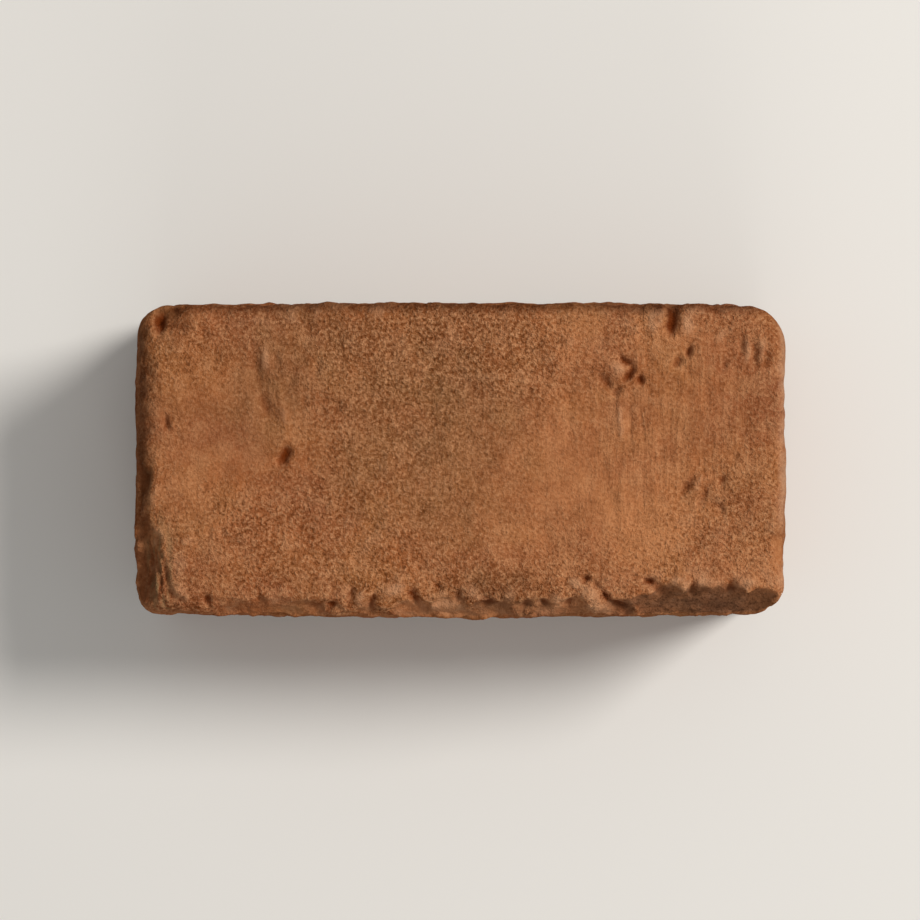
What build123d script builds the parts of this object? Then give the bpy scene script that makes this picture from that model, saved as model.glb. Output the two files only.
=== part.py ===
"""A tumbled clay cobble brick, moulded and fired as one piece.

It lies on its bed with its worn face up. X runs along its length, Y across its width,
and the origin is in the middle of the bed.
"""

import os
from math import atan, cos, degrees, radians, sin, sqrt

from build123d import *

# Overall size of the unit, in millimetres
length = 200.0
width = 98.0
height = 65.0

# How far the ends and the long sides stand out at their middles
end_bow = 0.8
side_bow = 1.0

# How far the walls lean in from the bed to the face, so that the mould lifts off
wall_lean = 1.5

# Plan corners, each rounded by its own wear
corner_front_left = 7.0
corner_front_right = 10.0
corner_back_left = 10.0
corner_back_right = 12.0

# Rounded arrises round the face and round the bed
face_arris = 5.0
bed_arris = 4.0

# The left arris is rubbed down to a bevel: its depth below the rounded arris, and how
# steeply it falls away from the face, in degrees
bevel_depth = 1.6
bevel_slope = 42.0

# Chips knocked off the arrises. Each row names the walls that meet there, as -1, 0 or 1
# along X, Y and Z, then the chip's place along the arris from its middle, the radius of
# the ball that bites it out as a share of the width, and the bite as a share of face_arris.
# The long spall and the crumbled stretch beside it are several chips in a row
chip_shares = [
    ((0, -1, 1), 0.330, 0.30, 0.86),
    ((0, -1, 1), 0.385, 0.34, 0.94),
    ((0, -1, 1), 0.435, 0.30, 0.90),
    ((0, -1, 1), 0.240, 0.10, 0.48),
    ((0, -1, 1), 0.160, 0.15, 0.46),
    ((0, -1, 1), 0.115, 0.26, 0.44),
    ((0, -1, 1), 0.045, 0.20, 0.52),
    ((0, -1, 1), -0.005, 0.24, 0.50),
    ((0, -1, 1), -0.070, 0.12, 0.52),
    ((0, -1, 1), -0.150, 0.11, 0.38),
    ((0, -1, 1), -0.255, 0.40, 0.42),
    ((0, -1, 1), -0.320, 0.38, 0.44),
    ((-1, 0, 1), -0.360, 0.42, 0.78),
    ((-1, 0, 1), -0.060, 0.10, 0.60),
    ((1, 0, 1), -0.280, 0.17, 0.22),
    ((0, 1, 1), -0.450, 0.09, 0.40),
    ((0, -1, -1), -0.280, 0.30, 0.40),
    ((0, 1, -1), 0.140, 0.42, 0.42),
    ((1, 0, -1), 0.120, 0.24, 0.42),
    ((-1, 0, -1), 0.200, 0.20, 0.36),
    ((-1, -1, 0), -0.120, 0.30, 0.42),
    ((1, 1, 0), 0.050, 0.34, 0.46),
]

# Broad hollows and small torn pits in the face. Each row gives the place along and across
# the face from its middle, the radius of the ball that presses it in as a share of the
# width, and its depth as a share of face_arris
hollow_shares = [
    (-0.29, 0.20, 0.92, 0.18),
    (-0.04, 0.14, 2.65, 0.16),
    (0.23, 0.25, 1.12, 0.18),
    (0.38, -0.10, 1.22, 0.16),
    (-0.19, -0.24, 1.63, 0.14),
    (0.10, -0.27, 1.40, 0.14),
    (0.39, 0.30, 0.71, 0.16),
    (0.08, 0.30, 1.02, 0.14),
    (-0.38, -0.12, 1.12, 0.12),
]
pit_shares = [
    (-0.264, 0.012, 0.050, 0.32),
    (0.250, 0.307, 0.040, 0.44),
    (0.256, 0.262, 0.040, 0.46),
    (0.337, 0.320, 0.045, 0.30),
    (0.328, 0.300, 0.045, 0.28),
    (0.189, -0.368, 0.040, 0.28),
    (0.216, -0.414, 0.040, 0.32),
]

half_length = length / 2
half_width = width / 2


def corner_rounding(sign_x, sign_y):
    """Plan radius of the corner where an end wall and a long wall meet."""
    if sign_y < 0:
        return corner_front_left if sign_x < 0 else corner_front_right
    return corner_back_left if sign_x < 0 else corner_back_right


def edge_point(walls, place):
    """Point of the sharp edge where two walls, or a wall and the face or bed, would meet.

    The walls are signs along X, Y and Z, and place is a share of the edge that runs along
    the axis whose sign is 0, from its middle.
    """
    sign_x, sign_y, sign_z = walls
    level = height * (place + 1 / 2) if sign_z == 0 else height * max(sign_z, 0)
    leaned = wall_lean * level / height
    bowed_out = 1 - (2 * place) ** 2
    x = sign_x * (half_length - end_bow - leaned)
    y = sign_y * (half_width - side_bow - leaned)
    if sign_x == 0:
        x = place * length
        y += sign_y * side_bow * bowed_out
    if sign_y == 0:
        x += sign_x * end_bow * bowed_out
        y = place * width
    return Vector(x, y, level)


def edge_rounding(walls):
    """Radius of the rounded edge between those walls."""
    sign_x, sign_y, sign_z = walls
    if sign_z == 0:
        return corner_rounding(sign_x, sign_y)
    return face_arris if sign_z > 0 else bed_arris


def chip_centre(walls, place, ball, bite):
    """Centre of the ball that bites a chip of that depth out of the rounded edge."""
    outward = Vector(*walls).normalized()
    # On the diagonal the rounded edge lies this far inside the sharp one
    setback = edge_rounding(walls) * (sqrt(2) - 1)
    return edge_point(walls, place) + outward * (ball - bite - setback)


with BuildPart() as cobble_brick:
    # Four bowed walls with rounded corners, drawn up from the bed
    left, right = end_bow - half_length, half_length - end_bow
    front, back = side_bow - half_width, half_width - side_bow
    with BuildSketch() as plan:
        with BuildLine():
            ThreePointArc((left, front), (0, front - side_bow), (right, front))
            ThreePointArc((right, front), (right + end_bow, 0), (right, back))
            ThreePointArc((right, back), (0, back + side_bow), (left, back))
            ThreePointArc((left, back), (left - end_bow, 0), (left, front))
        make_face()
        for x, sign_x in ((left, -1), (right, 1)):
            for y, sign_y in ((front, -1), (back, 1)):
                corner = plan.vertices().sort_by_distance((x, y))[0]
                fillet(corner, corner_rounding(sign_x, sign_y))
    extrude(amount=height, taper=degrees(atan(wall_lean / height)))

    # Arrises worn round by tumbling
    fillet(cobble_brick.faces().sort_by(Axis.Z)[-1].edges(), face_arris)
    fillet(cobble_brick.faces().sort_by(Axis.Z)[0].edges(), bed_arris)

    # Bevel rubbed along the left arris
    tilt = radians(bevel_slope)
    bevel_normal = Vector(-sin(tilt), 0, cos(tilt))
    rounding_centre = edge_point((-1, 0, 1), 0) + Vector(face_arris, 0, -face_arris)
    bevel_origin = rounding_centre + bevel_normal * (face_arris - bevel_depth)
    split(bisect_by=Plane(origin=bevel_origin, z_dir=bevel_normal), keep=Keep.BOTTOM)

    # Chips
    for walls, place_share, ball_share, bite_share in chip_shares:
        ball = ball_share * width
        with Locations(chip_centre(walls, place_share, ball, bite_share * face_arris)):
            Sphere(ball, mode=Mode.SUBTRACT)

    # Broad hollows and small torn pits in the face
    for along_share, across_share, ball_share, depth_share in hollow_shares + pit_shares:
        ball = ball_share * width
        level = height + ball - depth_share * face_arris
        with Locations((along_share * length, across_share * width, level)):
            # The ball's poles lie level, so that its cap is free of them
            Sphere(ball, rotation=(90, 0, 0), mode=Mode.SUBTRACT)

cobble_brick.part.label = "cobble_brick"
os.makedirs("parts", exist_ok=True)
export_step(cobble_brick.part, "parts/cobble_brick.step")
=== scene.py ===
"""A tumbled clay cobble brick, seen from straight above its worn face.

X runs along the brick, Y across it, and the bed lies on the floor at height zero.
"""

from itertools import product

import bpy
import numpy as np
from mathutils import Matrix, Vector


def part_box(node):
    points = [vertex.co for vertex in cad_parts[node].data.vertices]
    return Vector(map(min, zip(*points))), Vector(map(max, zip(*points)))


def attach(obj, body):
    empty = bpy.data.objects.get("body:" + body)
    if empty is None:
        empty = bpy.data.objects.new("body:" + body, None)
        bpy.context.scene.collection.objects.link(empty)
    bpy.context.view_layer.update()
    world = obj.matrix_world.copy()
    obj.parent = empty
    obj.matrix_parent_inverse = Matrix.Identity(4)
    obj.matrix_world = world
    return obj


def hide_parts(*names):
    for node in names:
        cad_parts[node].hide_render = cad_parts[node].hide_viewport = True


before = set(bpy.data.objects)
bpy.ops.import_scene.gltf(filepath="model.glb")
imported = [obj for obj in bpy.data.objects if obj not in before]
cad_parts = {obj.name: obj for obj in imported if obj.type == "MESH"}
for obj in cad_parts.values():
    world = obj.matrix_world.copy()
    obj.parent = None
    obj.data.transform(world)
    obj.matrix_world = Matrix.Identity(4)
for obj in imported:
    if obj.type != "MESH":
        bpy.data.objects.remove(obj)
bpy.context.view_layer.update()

mm = 0.001

# Overall size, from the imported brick
low, high = (np.array(corner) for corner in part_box("cobble_brick"))
length, width, height = high - low
half_length, half_width = length / 2, width / 2

# Form of the moulded brick
end_bow = 0.8 * mm
side_bow = 1.0 * mm
wall_lean = 1.5 * mm
corner_front_left = 7.0 * mm
corner_front_right = 10.0 * mm
corner_back_left = 10.0 * mm
corner_back_right = 12.0 * mm
bed_arris = 4.0 * mm

# Roundings of the face arris, which tumbling wore most along the left and the front
arris_left = 10.0 * mm
arris_front = 6.0 * mm
arris_right = 4.2 * mm
arris_back = 4.0 * mm
# Wear of two neighbouring arrises runs into each other over about this distance
wear_blend = 8.0 * mm
# How much the roundings vary along the arris
arris_variation = 0.20

# Chips off the arrises: the walls that meet there as signs along X, Y and Z, the place
# along the arris from its middle, then in millimetres how far the chip was dragged along
# it, the radius of the ball that bites it out, the bite's depth from the sharp edge, and
# how ragged its rim is
chips = [
    ((0, -1, 1), 0.385, 22.0, 30.0, 7.0, 2.8),
    ((0, -1, 1), 0.24, 2.0, 10.0, 4.4, 1.6),
    ((0, -1, 1), 0.16, 2.0, 15.0, 4.3, 2.0),
    ((0, -1, 1), 0.115, 4.0, 25.0, 4.3, 2.4),
    ((0, -1, 1), 0.045, 3.0, 20.0, 4.6, 2.4),
    ((0, -1, 1), -0.005, 3.0, 24.0, 4.5, 2.4),
    ((0, -1, 1), -0.07, 2.0, 12.0, 4.6, 2.0),
    ((0, -1, 1), -0.15, 4.0, 10.0, 3.8, 2.4),
    ((0, -1, 1), -0.29, 14.0, 40.0, 4.3, 1.6),
    ((-1, 0, 1), -0.36, 10.0, 40.0, 6.0, 2.8),
    ((-1, 0, 1), -0.06, 2.0, 9.0, 5.0, 1.6),
    ((1, 0, 1), -0.28, 4.0, 16.0, 3.0, 1.6),
    ((0, 1, 1), -0.45, 2.0, 9.0, 4.0, 1.6),
    ((0, -1, -1), -0.28, 6.0, 24.0, 3.7, 0.8),
    ((0, 1, -1), 0.14, 10.0, 30.0, 3.8, 0.8),
    ((1, 0, -1), 0.12, 4.0, 20.0, 3.8, 0.8),
    ((-1, 0, -1), 0.20, 4.0, 16.0, 3.5, 0.8),
    ((-1, -1, 0), -0.12, 6.0, 26.0, 5.0, 1.2),
    ((1, 1, 0), 0.05, 8.0, 28.0, 7.2, 1.2),
]
# Depth over which a chip's ragged rim gives way to its smoother floor
ragged_depth = 1.0 * mm
# Share of the broader jags in the rims
broad_jag_share = 0.3

# Broad hollows in the face: place along and across it as shares from its back left corner,
# then the radius of the ball that would press each, and its depth, in millimetres
face_hollows = [
    (0.21, 0.30, 90.0, 0.9),
    (0.46, 0.36, 260.0, 0.8),
    (0.73, 0.25, 110.0, 0.9),
    (0.88, 0.60, 120.0, 0.8),
    (0.31, 0.74, 160.0, 0.7),
    (0.60, 0.77, 137.0, 0.7),
    (0.89, 0.20, 70.0, 0.8),
    (0.58, 0.20, 100.0, 0.7),
    (0.12, 0.62, 110.0, 0.6),
]
# Depth within which a hollow's rim is rubbed smooth
hollow_rim = 0.15 * mm

# Dents in the face: place along and across it as shares from its back left corner, then
# length, breadth and depth in millimetres, and turn from the X axis in degrees. A lump is a
# dent of negative depth
face_dents = [
    # The dimple, and the soft drag mark that leads down to it
    (0.236, 0.488, 8.0, 4.6, 1.80, 68),
    (0.205, 0.300, 26.0, 9.0, 0.60, -72),
    (0.207, 0.335, 9.0, 3.4, 0.60, -75),
    (0.240, 0.270, 11.0, 4.0, 0.50, 80),
    (0.206, 0.195, 13.0, 4.0, -0.55, 86),
    (0.223, 0.190, 7.0, 3.0, 0.80, 80),
    (0.192, 0.200, 13.0, 4.0, 0.45, 88),
    (0.230, 0.355, 12.0, 4.5, -0.45, -62),
    (0.285, 0.215, 7.0, 3.6, 0.60, 80),
    # The torn place on the right, the pits beside it and the ridge drawn down from it
    (0.749, 0.195, 7.0, 2.8, 1.70, -48),
    (0.753, 0.238, 6.0, 3.2, 1.80, 55),
    (0.721, 0.262, 10.0, 3.0, 1.30, -52),
    (0.738, 0.284, 5.0, 2.8, 1.10, 52),
    (0.737, 0.222, 8.0, 6.0, -0.60, -50),
    (0.772, 0.252, 4.6, 3.0, 1.80, -62),
    (0.843, 0.168, 5.0, 3.0, 1.60, 70),
    (0.828, 0.195, 6.0, 3.2, 1.30, 70),
    (0.835, 0.182, 4.0, 2.4, -0.50, 70),
    (0.742, 0.385, 15.0, 2.6, -0.60, 88),
    (0.756, 0.390, 15.0, 2.6, 0.50, 88),
    (0.774, 0.400, 14.0, 2.4, 0.35, 88),
    # The crease in the back arris, the lumps beside it and the ridges at the right
    (0.818, 0.062, 15.0, 5.0, 2.20, 88),
    (0.794, 0.062, 12.0, 7.0, -0.80, 82),
    (0.845, 0.075, 12.0, 6.0, -0.70, 84),
    (0.768, 0.025, 9.0, 6.0, 0.80, 80),
    (0.896, 0.208, 5.0, 2.6, 0.80, 75),
    (0.923, 0.150, 9.0, 2.6, 0.70, 80),
    (0.934, 0.160, 12.0, 3.0, -0.60, 84),
    (0.944, 0.178, 10.0, 2.4, 0.55, 86),
    (0.953, 0.160, 12.0, 2.8, -0.60, 86),
    (0.962, 0.205, 7.0, 2.4, 0.70, 80),
    (0.894, 0.120, 9.0, 3.4, -0.40, 60),
    (0.912, 0.090, 8.0, 3.0, -0.35, 70),
    # Scars in the right half
    (0.897, 0.560, 6.0, 2.8, 1.20, 75),
    (0.841, 0.580, 11.0, 3.2, 1.20, 62),
    (0.868, 0.610, 10.0, 3.2, 1.10, 66),
    (0.886, 0.640, 10.0, 3.4, 1.00, -50),
    (0.858, 0.575, 7.0, 4.0, -0.45, 62),
    # Holes and fissures at the left arris
    (0.046, 0.078, 11.0, 5.5, 2.40, 82),
    (0.060, 0.385, 8.0, 2.6, 1.20, -72),
    (0.075, 0.430, 5.0, 2.4, 0.50, -70),
    (0.026, 0.560, 9.0, 4.0, 1.10, 84),
    (0.034, 0.820, 22.0, 2.2, 1.00, -82),
    (0.046, 0.850, 22.0, 2.2, 1.10, -78),
    (0.058, 0.860, 22.0, 2.4, 1.20, -76),
    (0.075, 0.925, 7.0, 3.0, 1.00, -40),
    (0.016, 0.620, 24.0, 2.4, 1.10, 88),
    (0.122, 0.722, 4.5, 2.2, 0.60, 84),
    (0.142, 0.722, 4.5, 2.2, 0.60, 84),
    (0.130, 0.646, 4.0, 3.0, 0.60, 30),
    # Pits and furrows along the front arris
    (0.120, 0.940, 5.0, 3.6, 1.60, -65),
    (0.150, 0.960, 9.0, 3.0, 0.60, 0),
    (0.283, 0.948, 8.5, 3.4, 1.20, 0),
    (0.307, 0.952, 4.8, 3.8, 1.70, 40),
    (0.334, 0.918, 7.0, 2.6, 1.30, 85),
    (0.350, 0.925, 7.0, 4.2, -0.60, 80),
    (0.367, 0.938, 8.0, 2.6, 1.40, 80),
    (0.400, 0.900, 12.0, 7.0, -0.60, 20),
    (0.432, 0.918, 9.0, 3.2, 1.60, -55),
    (0.465, 0.895, 3.6, 2.8, 1.00, 20),
    (0.480, 0.955, 12.0, 4.0, -0.70, 0),
    (0.496, 0.920, 6.0, 4.0, 1.20, -30),
    (0.520, 0.905, 5.0, 4.0, -0.60, 30),
    (0.542, 0.935, 8.0, 5.0, 1.30, -20),
    (0.575, 0.920, 6.0, 4.6, -0.60, 40),
    (0.598, 0.945, 5.0, 3.2, 1.10, 50),
    (0.625, 0.940, 4.2, 3.0, 1.40, -30),
    (0.645, 0.925, 6.0, 4.6, -0.80, 30),
    (0.665, 0.942, 4.2, 3.0, 1.40, 40),
    (0.675, 0.878, 5.0, 4.6, -0.80, 0),
    # The furrow at the head of the long spall, its lumps, and the notches in its rim
    (0.689, 0.868, 4.0, 2.8, 1.50, -75),
    (0.707, 0.900, 8.0, 2.6, 1.10, -42),
    (0.719, 0.926, 5.0, 3.0, 1.50, -40),
    (0.737, 0.948, 7.0, 3.4, 1.70, -15),
    (0.697, 0.918, 9.0, 6.0, -0.90, -42),
    (0.715, 0.965, 14.0, 5.0, -0.80, -10),
    (0.783, 0.872, 4.6, 3.4, 1.50, -30),
    (0.800, 0.893, 10.0, 4.0, 1.30, -38),
    (0.834, 0.880, 9.0, 4.6, -0.70, -15),
    (0.876, 0.878, 11.0, 4.4, -0.70, 0),
    (0.932, 0.880, 10.0, 4.6, -0.70, 5),
    (0.852, 0.893, 6.0, 3.4, 1.50, 86),
    (0.908, 0.895, 7.0, 4.0, 1.60, 70),
]
# Where a dent starts and where it is full, as shares of its half size
dent_fade = (1.15, 0.2)

# Patches of the face: place along and across it as shares from its back left corner, then
# length and breadth in millimetres, and strength
smooth_zones = [
    (0.14, 0.48, 50, 40, 1.0),
    (0.07, 0.68, 22, 34, 0.9),
    (0.69, 0.56, 78, 46, 1.0),
    (0.79, 0.34, 70, 44, 0.8),
    (0.22, 0.32, 26, 42, 0.8),
    (0.70, 0.12, 34, 28, 0.6),
]
gritty_zones = [
    (0.48, 0.14, 96, 40, 1.0),
    (0.62, 0.90, 100, 24, 1.0),
    (0.15, 0.72, 28, 24, 0.8),
    (0.88, 0.72, 30, 40, 0.5),
]
rough_zones = [
    (0.57, 0.97, 80, 20, 1.0),
    (0.50, 0.15, 84, 40, 0.4),
    (0.45, 0.45, 60, 40, 0.2),
    (0.30, 0.80, 84, 40, 0.35),
    (0.88, 0.68, 36, 40, 0.4),
    (0.80, 0.06, 64, 20, 0.5),
    (0.04, 0.86, 18, 50, 0.8),
    (0.37, 0.96, 36, 16, 0.8),
]
drag_zones = [(0.78, 0.42, 90, 80, 1.0), (0.25, 0.25, 40, 50, 0.7)]
ash_zones = [
    (0.44, 0.36, 62, 70, 1.0),
    (0.21, 0.28, 26, 42, 0.8),
    (0.31, 0.10, 50, 26, 0.8),
    (0.565, 0.895, 36, 18, 0.9),
]
weather_zones = [(0.046, 0.840, 11, 30, 0.9), (0.02, 0.60, 6, 30, 0.5)]
pale_zones = [
    (0.70, 0.60, 84, 66, 0.7),
    (0.77, 0.68, 44, 44, 1.0),
    (0.94, 0.83, 30, 20, 0.8),
    (0.67, 0.12, 30, 26, 0.6),
    (0.85, 0.12, 44, 22, 0.7),
    (0.09, 0.62, 26, 60, 0.4),
]
spall_zones = [(0.885, 0.965, 50, 18, 1.0), (0.805, 0.950, 26, 16, 0.9)]
# Patches that are darker: in the crumbled front strip, at the hole in the back left and in the
# crease of the back arris, less on top of crumbs
dark_patch_zones = [
    (0.565, 0.905, 34, 15, 0.45),
    (0.045, 0.070, 10, 18, 0.6),
    (0.823, 0.04, 8, 12, 0.4),
]
# The crumbled front arris is painted paler as highlight, and so is the spall's rim where its lumps
# stand out
crumbled_zones = [(0.50, 0.96, 96, 22, 1.0)]
rim_zones = [(0.875, 0.878, 60, 9, 1.0)]
# Where a patch starts and where it is full, as shares of its half size
zone_fade = (1.55, 0.15)

# The patches and the dents stray from their outlines: how far, the lump size of the noise
# that moves them, its seeds along X, Y and Z, and its layers
patch_stray = (9 * mm, 26 * mm, (14, 15, 16), 3)
dent_stray = (0.8 * mm, 6 * mm, (11, 12, 13), 2)

# Scale of a pattern along X, Y and Z, where a small share draws its lumps out
even = (1, 1, 1)
# Patterns of the wear: lump size in millimetres, seed, layers and scale
wear_patterns = {
    "arris": (28, 1, 2, even),
    "jag": (5, 2, 3, even),
    "broad_jag": (18, 3, 2, even),
    "loose": (30, 5, 2, even),
}
# Patterns of the relief, written alike
relief_patterns = {
    "sway": (48, 4, 2, even),
    "swell": (16, 9, 2, even),
    "ripple": (7, 17, 2, even),
    "sand": (3.0, 6, 1, even),
    "drag": (3.4, 7, 2, (1, 0.16, 1)),
    "lamina": (8, 18, 3, (0.35, 0.35, 1)),
    "crumb": (5.5, 8, 3, even),
    "fold": (15, 19, 2, (0.4, 0.4, 1)),
    "creasing": (36, 20, 2, even),
    "fracture": (9, 21, 3, even),
    "rim_lump": (7, 22, 2, even),
}
# Layers of the relief: the pattern, its height in millimetres, what is added to that where
# the face is smooth and where it is rough, the share that is lost where the clay is broken,
# and the kind of place that the layer is limited to
relief_layers = [
    ("sway", 0.20, 0.00, 0.00, 0.0, "all_over"),
    ("swell", 0.40, -0.15, 0.00, 0.5, "all_over"),
    ("ripple", 0.45, -0.20, 0.00, 0.6, "all_over"),
    ("grain", 0.14, -0.06, 0.24, 0.5, "all_over"),
    ("drag", 0.32, 0.00, 0.00, 0.0, "dragged"),
    ("lamina", 0.45, 0.00, 0.00, 0.8, "side"),
    ("crumb", 0.80, 0.00, 0.00, 0.8, "crumbling"),
]

# Grains pressed into the clay: spacing, seed, height of a grain's crown and share of sand
grain_spacing = 2.6 * mm
grain_seed = 60
grain_crown_share = 0.35
sand_share = 0.8

# Small pits: spacing, seed, reach as a share of the spacing, how blunt their floors are,
# their depth, and the share of it that a smooth patch has lost
pit_spacing = 9 * mm
pit_seed = 40
pit_reach_share = 0.26
least_pit_reach_share = 0.02
pit_bluntness = 0.7
pit_depth = 0.70 * mm
pit_loss_share = 0.5

# Creases of the walls: depth, breadth in the fold pattern, and where they come and are full
crease_depth = 1.0 * mm
crease_breadth = 0.13
creased_range = (-0.10, 0.25)
# Ridges of broken clay: height, and the level that they fall away to
fracture_height = 0.45 * mm
fracture_level = 0.25

# How steeply the rays go in where the face and the bed begin, and where they are reached
face_turn = (0.50, 0.80)
bed_turn = (0.55, 0.85)
# Depth of a chip at which the clay starts to look broken, and at which it does
broken_depth = (0.2 * mm, 1.0 * mm)
# Distance from a wall at which the face starts to crumble, and at which it does, and the
# values of the loose pattern that let it
edge_gap = (12 * mm, 3 * mm)
loose_range = (-0.1, 0.4)
# Drag marks are this strong outside their patches
least_drag_share = 0.2

# Painted shade in recesses: how deep a place is where the shade starts and where it is full,
# and what a pit and a crumb add to its depth. Then the shares of that shade in the dark and in
# the warm red-brown colour, how much darker broken clay is, and where and how much the dark
# patches thin out on top of crumbs
shade_depth_range = (0.4 * mm, 2.0 * mm)
pit_shade_depth = 0.3 * mm
crumb_gap_shade_depth = 0.4 * mm
recess_dark_shade_share = 0.25
recess_warm_shade_share = 0.95
broken_darkening_share = 0.10
crumb_gap_shade_range = (-0.2, 0.3)
crumb_gap_shade_loss_share = 0.6
# Painted shade, with some dirt, along each arris: the axis and the side of its wall, the
# distances from the wall in millimetres where it starts and where it is full, and its strength
dirty_shaded_arris_bands = [
    (0, -1, 9.0, 1.5, 1.3),
    (1, -1, 6.0, 1.0, 0.35),
    (1, 1, 6.0, 2.0, 1.2),
    (0, 1, 3.5, 1.0, 0.5),
]
# How much of the painted shade and dirt along the arrises shows, and the share of it lost on the
# walls
arris_dirt_shade_share = 0.7
arris_dirt_shade_wall_loss = 0.7

# Painted highlight on lumps: how far a lump stands out where the highlight starts and where it
# is full, the values of the patterns that light crumbs and the spall's rim, and how much each
# adds, the crumbled front arris included
lump_rise = (0.1 * mm, 0.7 * mm)
crumb_lump_range = (0.05, 0.5)
crumb_lump_share = 0.7
crumbled_lump_share = 0.5
rim_lump_range = (-0.3, 0.2)
rim_lump_share = 0.7

# The right arris is paler, partly rubbed bare and partly painted highlight: distances from the
# wall and down from the face
rim_wear_light_gap = (5 * mm, 1.5 * mm)
rim_wear_light_drop = (7 * mm, 3 * mm)

# Grit and pin holes: what each kind of place adds, and the share lost in broken clay
grit_shares = {"all_over": 0.62, "smooth": -0.34, "rough": 0.30, "gritty": 0.15, "side": -0.20}
grit_loss_share = 0.5
pitted_shares = {"all_over": 0.40, "smooth": -0.30, "rough": 0.3}
pitted_wall_share = 0.8
pitted_loss_share = 0.4

# Spacing of the mesh over the face, and over the walls below it
face_step = 0.64 * mm
wall_step = 1.5 * mm
# How far the rays that shape the brick start outside it, and how deep their core lies
box_margin = 1.0 * mm
core_depth = 12.0 * mm
# Depth below the face down to which the walls keep the face's fine spacing
fine_depth = 11.0 * mm


def hashed(cells, seed):
    """Numbers from -1 to 1 that look drawn at random, one for each whole-number cell.

    The cell's coordinates are multiplied by large odd numbers, and their bits are mixed.
    """
    parts = cells.astype(np.int64).astype(np.uint32)
    mixed = parts[:, 0] * np.uint32(0x8DA6B343) ^ parts[:, 1] * np.uint32(0xD8163841)
    mixed = mixed ^ parts[:, 2] * np.uint32(0xCB1AB31F)
    mixed = (mixed + np.uint32(seed * 7919 + 1)) * np.uint32(0x9E3779B1)
    mixed = (mixed ^ (mixed >> np.uint32(15))) * np.uint32(0x85EBCA77)
    mixed = (mixed ^ (mixed >> np.uint32(13))) * np.uint32(0xC2B2AE3D)
    mixed = mixed ^ (mixed >> np.uint32(16))
    return mixed / 2.0**31 - 1.0


def clay_noise(points, size, seed, layers=1, gain=1.5):
    """Smooth noise from about -1 to 1, with lumps about size across.

    Slopes drawn at the corners of a cubic lattice are blended by a quintic fade, times a
    gain. Each further layer has half the size and half the strength.
    """
    total = np.zeros(len(points))
    for layer in range(layers):
        place = points / size * 2**layer
        cell = np.floor(place)
        local = place - cell
        fade = local**3 * (local * (local * 6 - 15) + 10)
        for corner in product((0, 1), repeat=3):
            weight = np.where(corner, fade, 1 - fade).prod(axis=1)
            slopes = [hashed(cell + corner, seed * 31 + layer * 3 + axis) for axis in range(3)]
            rise = (np.stack(slopes, axis=1) * (local - corner)).sum(axis=1)
            total += gain * weight * rise / 2**layer
    return total


def clay_pattern(points, size, seed, layers, scale):
    """Smooth noise from one row of a table of patterns, drawn out by its scale."""
    return clay_noise(points * scale, size * mm, seed, layers)


def stray(points, reach, size, seeds, layers):
    """The points, each moved along X, Y and Z by smooth noise times the reach."""
    moves = [clay_noise(points, size, seed, layers) for seed in seeds]
    return points + reach * np.stack(moves, axis=1)


def nearest_speck(points, spacing, seed, scatter=0.45):
    """Distance to the nearest of the specks in the clay, and a number drawn for it.

    Each cubic cell of that spacing holds one speck, scattered from its middle. The distance
    is a share of the spacing, and the drawn number lies between -1 and 1.
    """
    place = points / spacing
    cell = np.floor(place)
    nearest = np.full(len(points), np.inf)
    drawn = np.zeros(len(points))
    for step in product((-1, 0, 1), repeat=3):
        home = cell + step
        offset = np.stack([hashed(home, seed + k) for k in range(3)], axis=1)
        middle = home + 0.5 + scatter * offset
        gap = np.linalg.norm(place - middle, axis=1)
        drawn = np.where(gap < nearest, hashed(home, seed + 3), drawn)
        nearest = np.minimum(gap, nearest)
    return nearest, drawn


def smooth_step(value, start, end):
    """Rises from 0 at start to 1 at end with level ends."""
    share = np.clip((value - start) / (end - start), 0, 1)
    return share * share * (3 - 2 * share)


def rounded_meet(first, second, radius):
    """Distance to two walls that meet in a rounded edge.

    Past the rounding's centre it is the length of the two distances taken together, and
    elsewhere the larger of the two.
    """
    past = np.hypot(np.maximum(first + radius, 0), np.maximum(second + radius, 0))
    return past + np.minimum(np.maximum(first, second), -radius)


def body_distance(points, arris):
    """Distance outside the moulded brick: four bowed, leaning walls, a face and a bed.

    Each wall stands at its half size, less the lean at that height, less the bow times the
    squared share of the way to its end. Neighbours meet in rounded edges.
    """
    x, y, z = points.T
    leaned = wall_lean * z / height
    ends = np.abs(x) - (half_length - leaned - end_bow * (y / half_width) ** 2)
    sides = np.abs(y) - (half_width - leaned - side_bow * (x / half_length) ** 2)
    front_corner = np.where(x < 0, corner_front_left, corner_front_right)
    back_corner = np.where(x < 0, corner_back_left, corner_back_right)
    walls = rounded_meet(ends, sides, np.where(y < 0, front_corner, back_corner))
    return rounded_meet(rounded_meet(walls, z - height, arris), -z, bed_arris)


def edge_point(walls, place):
    """Point of the sharp edge between two walls, at that share of it from its middle."""
    sign_x, sign_y, sign_z = walls
    level = height * (place + 0.5) if sign_z == 0 else height * max(sign_z, 0)
    leaned = wall_lean * level / height
    bowed_in = (2 * place) ** 2
    x = place * length if sign_x == 0 else sign_x * (half_length - leaned - end_bow * bowed_in)
    y = place * width if sign_y == 0 else sign_y * (half_width - leaned - side_bow * bowed_in)
    return np.array((x, y, level))


def face_arris(points):
    """Rounding of the face arris near each point.

    It is the mean of the four walls' roundings, weighted by a falling exponential of the
    distance to each wall.
    """
    x, y = points[:, 0], points[:, 1]
    gaps = np.stack([half_length + x, half_length - x, half_width + y, half_width - y])
    weights = np.exp(-gaps / wear_blend)
    roundings = np.array((arris_left, arris_right, arris_front, arris_back))
    return roundings @ weights / weights.sum(axis=0)


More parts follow.
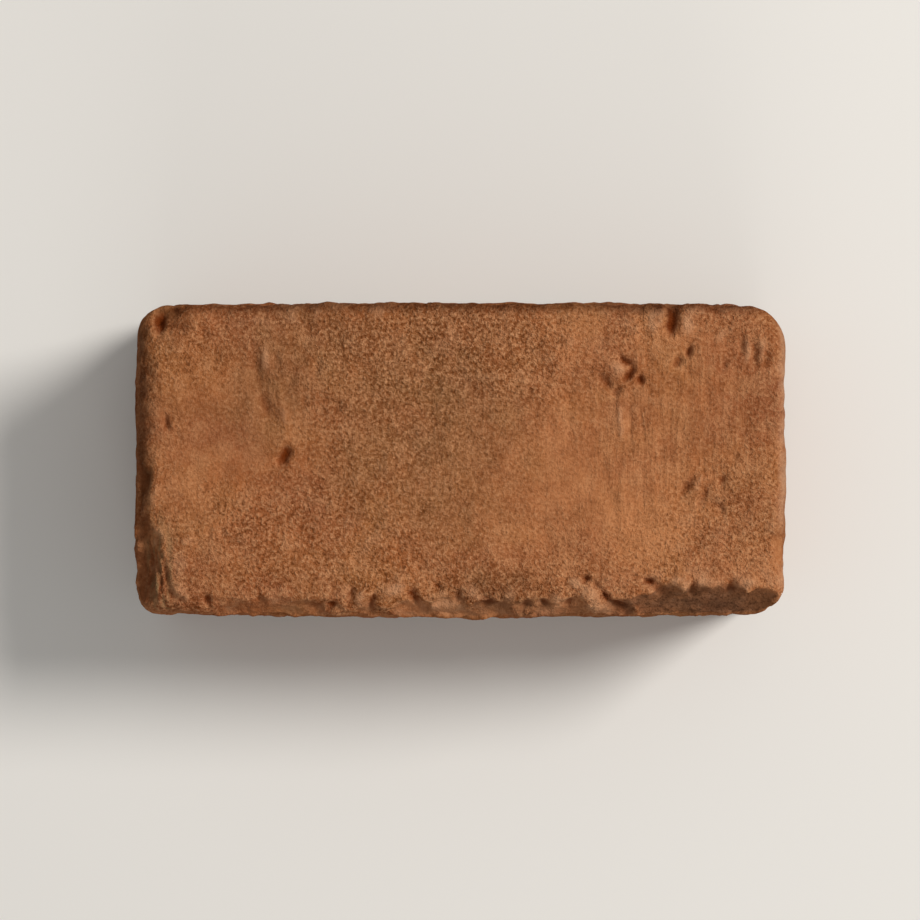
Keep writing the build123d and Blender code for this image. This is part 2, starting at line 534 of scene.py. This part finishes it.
def chip_distance(points, walls, place, drag, ball, bite):
    """Depth inside a ball that is dragged along the edge between the walls.

    The offset from the ball's centre has as much of the drag taken off along the edge as
    it can, and the depth is the radius less the length of what is left.
    """
    outward = np.array(walls) / np.linalg.norm(walls)
    centre = edge_point(walls, place) + outward * (ball - bite) * mm
    offset = points - centre
    along = walls.index(0)
    offset[:, along] -= np.clip(offset[:, along], -drag * mm / 2, drag * mm / 2)
    return ball * mm - np.linalg.norm(offset, axis=1)


def rim(grid):
    """The ring of entries round the edge of a grid, counter-clockwise seen from above."""
    return np.concatenate([grid[:-1, 0], grid[-1, :-1], grid[:0:-1, -1], grid[0, :0:-1]])


def grid_quads(grid):
    """Quads between neighbouring entries of a grid, facing up for X by Y."""
    corners = grid[:-1, :-1], grid[1:, :-1], grid[1:, 1:], grid[:-1, 1:]
    return np.stack(corners, axis=-1).reshape(-1, 4)


def band_quads(upper, lower):
    """Quads between two rings with as many entries, facing outwards."""
    return np.stack([lower, np.roll(lower, -1), np.roll(upper, -1), upper], axis=-1)


def halving_triangles(fine, coarse):
    """Triangles from a fine ring down to a ring with half as many entries."""
    middle, ahead, coarse_ahead = fine[1::2], np.roll(fine[::2], -1), np.roll(coarse, -1)
    left = np.stack([fine[::2], coarse, middle], axis=-1)
    centre = np.stack([middle, coarse, coarse_ahead], axis=-1)
    right = np.stack([middle, coarse_ahead, ahead], axis=-1)
    return np.concatenate([left, centre, right])


def raised(flat, level):
    """Flat points set at one level."""
    return np.column_stack([flat, np.full(len(flat), level)])


def box_lattice():
    """Points on a box just larger than the brick, and the faces that join them.

    A fine grid covers the top, rings go down the walls and have half as many points below
    the fine depth, and a grid of twice the spacing covers the bottom.
    """
    reach = np.array((half_length, half_width)) + box_margin
    counts = 2 * np.round(reach / face_step).astype(int)
    top = height + box_margin
    axes = [np.linspace(-side, side, count + 1) for side, count in zip(reach, counts)]
    spread = np.stack(np.meshgrid(*axes, indexing="ij"), axis=-1)
    around = np.stack([rim(spread[..., 0]), rim(spread[..., 1])], axis=-1)
    fine_levels = np.arange(top - face_step, top - fine_depth, -face_step)
    coarse_count = int((fine_levels[-1] + box_margin) / wall_step)
    coarse_levels = np.linspace(fine_levels[-1], -box_margin, coarse_count + 1)[1:]

    points = [raised(spread.reshape(-1, 2), top)]
    start = spread[..., 0].size
    face_ids = np.arange(start).reshape(spread.shape[:2])
    rings = [rim(face_ids)]
    for levels, flat in ((fine_levels, around), (coarse_levels[:-1], around[::2])):
        for level in levels:
            points.append(raised(flat, level))
            rings.append(start + np.arange(len(flat)))
            start += len(flat)
    bed = spread[::2, ::2]
    points.append(raised(bed.reshape(-1, 2), -box_margin))
    bed_ids = start + np.arange(bed[..., 0].size).reshape(bed.shape[:2])
    rings.append(rim(bed_ids))

    quads = [grid_quads(face_ids), grid_quads(bed_ids)[:, ::-1]]
    triangles = []
    for upper, lower in zip(rings, rings[1:]):
        if len(upper) == len(lower):
            quads.append(band_quads(upper, lower))
        else:
            triangles.append(halving_triangles(upper, lower))
    return np.concatenate(points), np.concatenate(quads), np.concatenate(triangles)


def drawn_in(start, inward, distance, travel=0.0, steps=24, caution=0.9):
    """How far each point goes along its ray until the distance reads zero.

    Each step goes nearly as far as the distance says the surface is at least away.
    """
    travel = np.zeros(len(start)) + travel
    for _ in range(steps):
        travel += caution * distance(start + inward * travel[:, None])
    return travel


def on_face(points, along, across):
    """Offsets from the place on the face that the two shares give."""
    return points[:, 0] - (along - 0.5) * length, points[:, 1] - (0.5 - across) * width


def hollow_depth(points):
    """Depth of the broad hollows: the cap of each ball, with its rim rubbed smooth."""
    depth = np.zeros(len(points))
    for along, across, ball, deep in face_hollows:
        x, y = on_face(points, along, across)
        cap = deep * mm - (x * x + y * y) / (2 * ball * mm)
        depth += (cap + np.hypot(cap, hollow_rim)) / 2
    return depth


def dent_depth(points):
    """Depth of the dents in the face: turned ellipses with steep rims and soft bottoms."""
    depth = np.zeros(len(points))
    for along, across, long_size, broad_size, deep, turn in face_dents:
        x, y = on_face(points, along, across)
        cos, sin = np.cos(np.radians(turn)), np.sin(np.radians(turn))
        ahead = (x * cos + y * sin) / (long_size * mm / 2)
        aside = (y * cos - x * sin) / (broad_size * mm / 2)
        depth += deep * mm * smooth_step(np.hypot(ahead, aside), *dent_fade)
    return depth


def zone_map(points, zones):
    """The strongest of several soft patches of the face, each an ellipse that fades out."""
    strongest = np.zeros(len(points))
    for along, across, long_size, broad_size, strength in zones:
        x, y = on_face(points, along, across)
        reach = np.hypot(x / (long_size * mm / 2), y / (broad_size * mm / 2))
        strongest = np.maximum(strongest, strength * smooth_step(reach, *zone_fade))
    return strongest


def worn_body(start, inward):
    """Travel of each ray to the tumbled body, and how much further it goes into a chip.

    The arris of the body varies by smooth noise. A chip's rim is its ball's, moved by the
    jags times a falling exponential of the depth, so that its floor is smoother.
    """
    moulded = drawn_in(start, inward, lambda points: body_distance(points, arris_back))
    outer = start + inward * moulded[:, None]
    variation = arris_variation * clay_pattern(outer, *wear_patterns["arris"])
    arris = face_arris(outer) * (1 + variation)
    jag = clay_pattern(outer, *wear_patterns["jag"])
    jag += broad_jag_share * clay_pattern(outer, *wear_patterns["broad_jag"])

    def chipped_distance(points):
        """The larger of the distance to the body and the depth in each chip."""
        body = body_distance(points, arris)
        rim_jag = jag * np.exp(np.minimum(body, 0) / ragged_depth)
        bites = [chip_distance(points, *chip) + ragged * mm * rim_jag for *chip, ragged in chips]
        return np.maximum.reduce([body, *bites])

    travel = drawn_in(start, inward, lambda points: body_distance(points, arris))
    return travel, drawn_in(start, inward, chipped_distance, travel) - travel


def kinds_of_place(base, strayed, inward, chipped):
    """Shares from 0 to 1 that say what kind of place each point of the brick is.

    Up, down and side come from the direction of the ray. Smooth, rough, gritty and dragged
    are patches of the face, and broken comes from the depth of a chip. Rough patches are
    crumbling, and so is the loose clay near the walls.
    """
    up = smooth_step(-inward[:, 2], *face_turn)
    down = smooth_step(inward[:, 2], *bed_turn)
    rough = zone_map(strayed, rough_zones) * up
    wall_gap = np.minimum(half_length - np.abs(base[:, 0]), half_width - np.abs(base[:, 1]))
    loose = smooth_step(clay_pattern(base, *wear_patterns["loose"]), *loose_range)
    return {
        "all_over": np.ones(len(base)),
        "up": up,
        "down": down,
        "side": 1 - up - down,
        "smooth": zone_map(strayed, smooth_zones) * up,
        "rough": rough,
        "gritty": zone_map(strayed, gritty_zones) * up,
        "dragged": np.maximum(zone_map(strayed, drag_zones), least_drag_share) * up,
        "broken": smooth_step(chipped, *broken_depth),
        "crumbling": np.maximum(rough, smooth_step(wall_gap, *edge_gap) * loose),
    }


def clay_shapes(base, up):
    """The patterns of the relief at each point, with its grains, pits and dents.

    A grain is its crown less the squared distance to its middle, with sand on it. A pit is
    one less the squared share of its reach, to a power that blunts its floor.
    """
    shapes = {name: clay_pattern(base, *row) for name, row in relief_patterns.items()}
    grain_gap, _ = nearest_speck(base, grain_spacing, grain_seed)
    shapes["grain"] = grain_crown_share - grain_gap**2 + sand_share * shapes["sand"]
    pit_gap, pit_size = nearest_speck(base, pit_spacing, pit_seed)
    pit_reach = np.maximum(pit_reach_share * pit_size, least_pit_reach_share)
    shapes["pits"] = np.maximum(1 - (pit_gap / pit_reach) ** 2, 0) ** pit_bluntness
    shapes["dents"] = dent_depth(stray(base, *dent_stray)) * up
    return shapes


def clay_relief(strayed, places, shapes):
    """Height of the clay over the worn body, left by the mould, the sand and the tumbling.

    Each layer is its pattern times its height at that kind of place. A crease is the depth
    times exp(-(fold / breadth)^2), so it follows the lines where the fold pattern is zero.
    Broken clay has ridges along such lines too. Hollows, pits and dents are taken off, and
    the bed keeps only what goes in.
    """
    smooth, broken = places["smooth"], places["broken"]
    relief = -hollow_depth(strayed) * places["up"]
    for pattern, rise, if_smooth, if_rough, broken_loss, place in relief_layers:
        strength = rise + if_smooth * smooth + if_rough * places["rough"]
        strength *= places[place] * (1 - broken_loss * broken)
        relief += mm * strength * shapes[pattern]
    creased = smooth_step(shapes["creasing"], *creased_range) * places["side"] * (1 - broken)
    relief -= crease_depth * creased * np.exp(-((shapes["fold"] / crease_breadth) ** 2))
    relief += fracture_height * broken * (fracture_level - np.abs(shapes["fracture"]))
    relief -= pit_depth * shapes["pits"] * (1 - pit_loss_share * smooth) + shapes["dents"]
    return np.where(places["down"] > 0, np.minimum(relief, 0), relief)


def arris_shade_and_dirt(base):
    """The strongest of the bands of painted shade and dirt along the walls, which fade in towards
    each wall.
    """
    halves = (half_length, half_width)
    strongest = np.zeros(len(base))
    for axis, side, starts, full, strength in dirty_shaded_arris_bands:
        gap = halves[axis] - side * base[:, axis]
        strongest = np.maximum(strongest, strength * smooth_step(gap, starts * mm, full * mm))
    return strongest


def highlighted_lumps(base, places, shapes):
    """Painted highlight where clay stands out pale: lumps, crumbs, the crumbled arris and the
    spall's rim.
    """
    broken = places["broken"]
    crumbs = places["crumbling"] * smooth_step(shapes["crumb"], *crumb_lump_range) * places["up"]
    rim_lumps = zone_map(base, rim_zones) * smooth_step(shapes["rim_lump"], *rim_lump_range)
    lit_lumps = smooth_step(-shapes["dents"], *lump_rise) + crumb_lump_share * crumbs
    lit_lumps += crumbled_lump_share * broken * zone_map(base, crumbled_zones)
    lit_lumps += rim_lump_share * rim_lumps * (1 - broken)
    return np.clip(lit_lumps, 0, 1)


def summed_shares(shares, places):
    """The sum over the kinds of place of each one's share."""
    return sum(share * places[place] for place, share in shares.items())


def clay_finishes(base, strayed, places, shapes):
    """Shares from 0 to 1 that say how much of each finish the clay has at each point.

    Painted shade darkens the clay where it lies deep, painted shade with some dirt darkens it
    along the arrises, and it is darker in a few patches. The kiln left the ash, the face is paler
    in patches, lumps carry painted highlight, and the right arris is paler, partly rubbed bare and
    partly painted highlight.
    """
    up, side, broken, crumb = places["up"], places["side"], places["broken"], shapes["crumb"]
    deep = shapes["dents"] + pit_shade_depth * shapes["pits"]
    deep -= crumb_gap_shade_depth * crumb * places["crumbling"]
    deep_place_shade = smooth_step(deep, *shade_depth_range)
    between_crumbs = 1 - crumb_gap_shade_loss_share * smooth_step(crumb, *crumb_gap_shade_range)
    soil_and_shade = np.maximum(recess_dark_shade_share * deep_place_shade, broken_darkening_share * broken)
    soil_and_shade += arris_dirt_shade_share * arris_shade_and_dirt(base) * (1 - arris_dirt_shade_wall_loss * side)
    soil_and_shade += zone_map(strayed, dark_patch_zones) * up * between_crumbs
    rim_wear_and_light = smooth_step(half_length - base[:, 0], *rim_wear_light_gap)
    rim_wear_and_light *= smooth_step(height - base[:, 2], *rim_wear_light_drop)
    grit = summed_shares(grit_shares, places)
    pitted = np.maximum(pitted_wall_share * (1 - up), summed_shares(pitted_shares, places))
    return {
        "soil_and_shade": np.clip(soil_and_shade, 0, 1),
        "warm_recess_shade": recess_warm_shade_share * deep_place_shade,
        "spall": zone_map(base, spall_zones) * broken,
        "lump_highlight": highlighted_lumps(base, places, shapes),
        "worn_lit_rim": rim_wear_and_light * (1 - broken),
        "ash": zone_map(strayed, ash_zones) * up,
        "pale": zone_map(strayed, pale_zones) * up,
        "weather": zone_map(base, weather_zones) * up,
        "drag": places["dragged"],
        "grit": grit * (1 - grit_loss_share * broken),
        "wall": side * (1 - broken),
        "torn": broken,
        "pitted": pitted * (1 - pitted_loss_share * broken),
    }


def make_brick():
    """The brick's surface: every point of the box lattice is drawn in to the worn clay.

    The rays go from the box towards the nearest point of a core inside the brick.
    """
    start, quads, triangles = box_lattice()
    core_low = np.array((-half_length, -half_width, 0)) + core_depth
    core_high = np.array((half_length, half_width, height)) - core_depth
    inward = np.clip(start, core_low, core_high) - start
    inward /= np.linalg.norm(inward, axis=1)[:, None]
    travel, chipped = worn_body(start, inward)
    base = start + inward * (travel + chipped)[:, None]

    strayed = stray(base, *patch_stray)
    places = kinds_of_place(base, strayed, inward, chipped)
    shapes = clay_shapes(base, places["up"])
    surface = base - inward * clay_relief(strayed, places, shapes)[:, None]

    mesh = bpy.data.meshes.new("cobble_brick_clay")
    mesh.from_pydata(surface, [], [*quads.tolist(), *triangles.tolist()])
    mesh.shade_smooth()
    for name, values in clay_finishes(base, strayed, places, shapes).items():
        mesh.attributes.new(name, "FLOAT", "POINT").data.foreach_set("value", values)
    brick = bpy.data.objects.new("cobble_brick_clay", mesh)
    bpy.context.collection.objects.link(brick)
    return brick


def linear(hex_colour):
    """Linear colour with full alpha from an sRGB hex value."""
    shares = np.array([int(hex_colour[k : k + 2], 16) for k in (1, 3, 5)]) / 255
    light = np.where(shares <= 0.04045, shares / 12.92, ((shares + 0.055) / 1.055) ** 2.4)
    return (*light.tolist(), 1.0)


def add_node(tree, kind, inputs=None, **settings):
    """Adds a node with its settings, and fills its inputs with values or other sockets."""
    node = tree.nodes.new(kind)
    for name, value in settings.items():
        setattr(node, name, value)
    for name, value in (inputs or {}).items():
        if isinstance(value, bpy.types.NodeSocket):
            tree.links.new(value, node.inputs[name])
        else:
            node.inputs[name].default_value = value
    return node


def new_material(name):
    """An empty node material and its tree."""
    material = bpy.data.materials.new(name)
    material.use_nodes = True
    material.node_tree.nodes.clear()
    return material, material.node_tree


# Sockets of the Mix node when it mixes colours
mix_share, mix_from, mix_to, mixed_colour = 0, 6, 7, 2

# Patterns in the clay: lump size in millimetres, detail, roughness and scale
drawn_across, laid_flat = (1, 0.15, 1), (0.2, 0.2, 1)
clay_patterns = {
    "kiln": (34, 4, 0.55, even),
    "tint": (18, 3, 0.50, even),
    "patch": (14, 3, 0.50, even),
    "cloud": (9, 3, 0.50, even),
    "mottle": (7, 3, 0.55, even),
    "crust": (5, 3, 0.50, even),
    "clot": (3, 2, 0.50, even),
    "grain": (1.0, 2, 0.65, even),
    "powder": (0.6, 2, 0.50, even),
    "streak": (1.4, 2, 0.60, drawn_across),
    "fibre": (1.6, 2, 0.50, drawn_across),
    "lamina": (5, 3, 0.60, laid_flat),
}
# Size in millimetres of the ridges that cross broken clay
crack_size = 6
# Patterns of separate cells, in millimetres: grains of sand, and the holes between them
sand_cell = 0.8
hole_cell = 2.4
# What some of the larger cells hold: the values drawn for a cell where it starts and where
# it is largest, and its reach then as a share of the cell
cell_contents = {"hole": (0.45, 1.0, 0.30), "speck": (0.35, 0.0, 0.18)}

# Layers of colour over the ground colour, each laid over those before it: the colour, the
# pattern that spreads it, the pattern's values where the layer starts and where it is full,
# how much of it covers at each, and the finish of the clay that limits it
ground_colour = "#905535"
clay_layers = [
    ("#A8663C", "kiln", 0.38, 0.62, 0.0, 1.0, None),
    ("#9F6A3F", "tint", 0.46, 0.68, 0.0, 0.6, None),
    ("#7C4728", "mottle", 0.50, 0.36, 0.0, 0.38, None),
    ("#B68058", "mottle", 0.50, 0.64, 0.0, 0.38, None),
    ("#7C4728", "lamina", 0.50, 0.36, 0.0, 0.50, "wall"),
    ("#B68058", "lamina", 0.50, 0.64, 0.0, 0.45, "wall"),
    ("#7C4728", "streak", 0.50, 0.34, 0.0, 0.22, "drag"),
    ("#C08A60", "streak", 0.50, 0.66, 0.0, 0.30, "drag"),
    ("#C08053", "patch", 0.20, 0.80, 0.4, 1.0, "pale"),
    ("#865C3A", "cloud", 0.20, 0.80, 0.3, 1.0, "ash"),
    ("#6E3A18", "sand", 0.50, 0.00, 0.0, 0.62, "grit"),
    ("#C48E64", "sand", 0.50, 1.00, 0.0, 0.58, "grit"),
    # Painted shade in the low places of the grain and painted highlight on its crowns, which the
    # bump also lowers and raises
    ("#622F0E", "grain", 0.46, 0.32, 0.0, 0.90, "grit"),
    ("#CF976C", "grain", 0.54, 0.69, 0.0, 0.75, "grit"),
    ("#D09A70", "speck", 0.00, 0.06, 0.0, 0.70, "pitted"),
    # Painted shade in the pin holes that the bump sinks
    ("#4E240C", "hole", 0.00, 0.10, 0.0, 0.80, "pitted"),
    # The right arris paler: rubbed bare, and painted highlight
    ("#C09474", "crust", 0.35, 0.60, 0.25, 0.85, "worn_lit_rim"),
    ("#8C7250", "fibre", 0.45, 0.65, 0.0, 0.9, "weather"),
    # Painted highlight on lumps, crumbs and the spall's rim
    ("#C6926C", "clot", 0.30, 0.60, 0.2, 0.7, "lump_highlight"),
    # Painted shade in recesses, warm red-brown
    ("#6E2D06", "clot", 0.25, 0.60, 0.8, 1.0, "warm_recess_shade"),
    ("#674733", "crust", 0.20, 0.80, 0.6, 1.0, "spall"),
    ("#93694D", "clot", 0.52, 0.68, 0.0, 0.7, "spall"),
    # Painted shade in the low places of the spall's grain
    ("#432A1B", "grain", 0.48, 0.36, 0.0, 0.6, "spall"),
    # Painted shade in recesses and, with some dirt, along the arrises; darker broken clay and dark
    # patches too
    ("#471D06", "clot", 0.25, 0.60, 0.5, 1.0, "soil_and_shade"),
]

# Heights that the bump adds up: the pattern, its share and the finish that limits it
clay_heights = [
    ("grain", 1.0, "grit"),
    ("streak", 0.3, "drag"),
    ("lamina", 0.6, "wall"),
    ("crack", 0.25, "torn"),
    ("hole", -0.9, "pitted"),
    ("speck", 0.5, "pitted"),
    ("powder", 0.2, None),
]
bump_height = 1.3 * mm


def clay_shares(tree):
    """Sockets with the value of each pattern in the clay and of each of its finishes."""
    place = add_node(tree, "ShaderNodeTexCoord").outputs["Object"]
    shares = {}
    for name, (size, detail, roughness, scale) in clay_patterns.items():
        mapping = add_node(tree, "ShaderNodeMapping", {"Vector": place, "Scale": scale})
        noise = {
            "Vector": mapping.outputs["Vector"],
            "Scale": 1 / (size * mm),
            "Detail": detail,
            "Roughness": roughness,
        }
        shares[name] = add_node(tree, "ShaderNodeTexNoise", noise).outputs["Fac"]
    ridges = {
        "Vector": place,
        "Scale": 1 / (crack_size * mm),
        "Detail": 3.0,
        "Roughness": 0.5,
        "Offset": 1.0,
    }
    crack = add_node(tree, "ShaderNodeTexNoise", ridges, noise_type="RIDGED_MULTIFRACTAL")
    shares["crack"] = crack.outputs["Fac"]
    finishes = [row[-1] for row in clay_layers + clay_heights if row[-1]]
    for name in dict.fromkeys(finishes):
        shares[name] = add_node(tree, "ShaderNodeAttribute", attribute_name=name).outputs["Fac"]

    # Every grain of sand has its own tone
    sand = add_node(tree, "ShaderNodeTexVoronoi", {"Vector": place, "Scale": 1 / (sand_cell * mm)})
    tone = add_node(tree, "ShaderNodeSeparateColor", {"Color": sand.outputs["Color"]})
    shares["sand"] = tone.outputs["Red"]
    # About half of the larger cells have a hole and a third have a pale grain
    cells = add_node(tree, "ShaderNodeTexVoronoi", {"Vector": place, "Scale": 1 / (hole_cell * mm)})
    drawn = add_node(tree, "ShaderNodeSeparateColor", {"Color": cells.outputs["Color"]})
    for name, (starts, largest, reach) in cell_contents.items():
        bounds = {
            "Value": drawn.outputs["Red"],
            "From Min": starts,
            "From Max": largest,
            "To Max": reach,
        }
        radius = add_node(tree, "ShaderNodeMapRange", bounds).outputs["Result"]
        depth = {0: radius, 1: cells.outputs["Distance"]}
        inside = add_node(tree, "ShaderNodeMath", depth, operation="SUBTRACT").outputs[0]
        floor_depth = add_node(tree, "ShaderNodeMath", {0: inside, 1: 0.0}, operation="MAXIMUM")
        shares[name] = floor_depth.outputs[0]
    return shares


def sand_faced_fired_clay():
    """Fired clay, pressed in a sanded mould and tumbled.

    The sand gives a matt, sandpaper-like face with no gloss. The kiln mottles it from brown
    through orange to ochre. Painted shade darkens the hollows, the pin holes and the low places of
    the grain, and with some soil the arrises; painted highlight pales the crowns of the grain, the
    lumps and the right arris, which is also rubbed.
    """
    material, tree = new_material("sand_faced_fired_clay")
    shares = clay_shares(tree)

    colour = linear(ground_colour)
    for tint, pattern, begins, full, least, most, finish in clay_layers:
        bounds = {
            "Value": shares[pattern],
            "From Min": begins,
            "From Max": full,
            "To Min": least,
            "To Max": most,
        }
        cover = add_node(tree, "ShaderNodeMapRange", bounds).outputs["Result"]
        if finish:
            limits = {0: cover, 1: shares[finish]}
            cover = add_node(tree, "ShaderNodeMath", limits, operation="MULTIPLY").outputs[0]
        inputs = {mix_share: cover, mix_from: colour, mix_to: linear(tint)}
        colour = add_node(tree, "ShaderNodeMix", inputs, data_type="RGBA").outputs[mixed_colour]

    raised_clay = 0.0
    for pattern, share, finish in clay_heights:
        limit = share
        if finish:
            limits = {0: shares[finish], 1: share}
            limit = add_node(tree, "ShaderNodeMath", limits, operation="MULTIPLY").outputs[0]
        terms = {0: shares[pattern], 1: limit, 2: raised_clay}
        raised_clay = add_node(tree, "ShaderNodeMath", terms, operation="MULTIPLY_ADD").outputs[0]
    relief = {"Strength": 1.0, "Distance": bump_height, "Height": raised_clay}
    bump = add_node(tree, "ShaderNodeBump", relief)

    finish = {
        "Base Color": colour,
        "Roughness": 0.92,
        "IOR": 1.5,
        "Specular IOR Level": 0.05,
        "Normal": bump.outputs["Normal"],
    }
    shader = add_node(tree, "ShaderNodeBsdfPrincipled", finish)
    add_node(tree, "ShaderNodeOutputMaterial", {"Surface": shader.outputs[0]})
    return material


# Studio paper: its colour to the eye, the colour of the light it throws back, and half its
# side in metres
paper_seen = "#E8E7E4"
paper_bounce = "#7A7672"
paper_half = 6.0


def studio_paper():
    """Matt pale studio paper. It looks pale to the eye, and throws less light back up."""
    material, tree = new_material("studio_paper")
    path = add_node(tree, "ShaderNodeLightPath")
    seen = path.outputs["Is Camera Ray"]
    for kind in ("Is Glossy Ray", "Is Transmission Ray"):
        rays = {0: seen, 1: path.outputs[kind]}
        seen = add_node(tree, "ShaderNodeMath", rays, operation="MAXIMUM").outputs[0]
    inputs = {mix_share: seen, mix_from: linear(paper_bounce), mix_to: linear(paper_seen)}
    colour = add_node(tree, "ShaderNodeMix", inputs, data_type="RGBA").outputs[mixed_colour]
    shader = add_node(tree, "ShaderNodeBsdfPrincipled", {"Base Color": colour, "Roughness": 0.95})
    add_node(tree, "ShaderNodeOutputMaterial", {"Surface": shader.outputs[0]})
    return material


def make_floor():
    """A flat sheet of studio paper, larger than any view of the brick."""
    corners = [(x * paper_half, y * paper_half, 0) for x, y in ((-1, -1), (1, -1), (1, 1), (-1, 1))]
    mesh = bpy.data.meshes.new("floor")
    mesh.from_pydata(corners, [], [(0, 1, 2, 3)])
    mesh.materials.append(studio_paper())
    floor = bpy.data.objects.new("floor", mesh)
    bpy.context.collection.objects.link(floor)
    return floor


# Lamps: name, size in metres, energy in watts, and azimuth and elevation in degrees. The key
# shines from the back right, and the fill from low in front
lamps = [("key", 1.1, 80, 26, 40), ("fill", 1.6, 16, -85, 20)]
lamp_distance = 3.0
lamp_colour = "#FFFAF4"
# The room's colour, its strength as light and its strength to the camera
room_colour = "#F4F2EF"
room_light = 0.38
room_seen = 1.0


def add_lamp(name, size, energy, azimuth, elevation):
    """A round soft lamp aimed at the face.

    The azimuth turns from the X axis towards Y, and the elevation rises from the floor, both
    in degrees.
    """
    lamp = bpy.data.lights.new(name, "AREA")
    lamp.shape = "DISK"
    lamp.size = size
    lamp.energy = energy
    lamp.color = linear(lamp_colour)[:3]
    holder = bpy.data.objects.new(name, lamp)
    turn, rise = np.radians(azimuth), np.radians(elevation)
    level = np.cos(rise)
    away = np.array((np.cos(turn) * level, np.sin(turn) * level, np.sin(rise)))
    holder.location = away * lamp_distance + (0, 0, height)
    holder.rotation_euler = (np.pi / 2 - rise, 0, turn + np.pi / 2)
    bpy.context.collection.objects.link(holder)


def light_studio():
    """The lamps, and a room that is dim as light and pale to the camera."""
    for lamp in lamps:
        add_lamp(*lamp)
    world = bpy.data.worlds.new("room")
    world.use_nodes = True
    tree = world.node_tree
    tree.nodes.clear()
    path = add_node(tree, "ShaderNodeLightPath")
    shades = {0: path.outputs["Is Camera Ray"]}
    for socket, strength in ((1, room_light), (2, room_seen)):
        shade = {"Color": linear(room_colour), "Strength": strength}
        shades[socket] = add_node(tree, "ShaderNodeBackground", shade).outputs[0]
    shown = add_node(tree, "ShaderNodeMixShader", shades)
    add_node(tree, "ShaderNodeOutputWorld", {"Surface": shown.outputs[0]})
    bpy.context.scene.world = world


# Camera: lens and sensor in millimetres, and the widths of the picture and of the brick in
# it in pixels
lens = 120
sensor_width = 36
picture_width = 920
brick_picture_width = 664


def place_camera():
    """A long lens that looks straight down on the middle of the face."""
    camera_data = bpy.data.cameras.new("camera")
    camera_data.lens = lens
    camera_data.sensor_width = sensor_width
    view_width = length * picture_width / brick_picture_width
    camera = bpy.data.objects.new("camera", camera_data)
    camera.location = (0, 0, height + view_width * lens / sensor_width)
    bpy.context.collection.objects.link(camera)
    bpy.context.scene.camera = camera


brick = make_brick()
brick.data.materials.append(sand_faced_fired_clay())
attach(brick, "root")
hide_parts("cobble_brick")

floor = make_floor()
light_studio()
place_camera()
bpy.context.scene.view_settings.view_transform = "Standard"
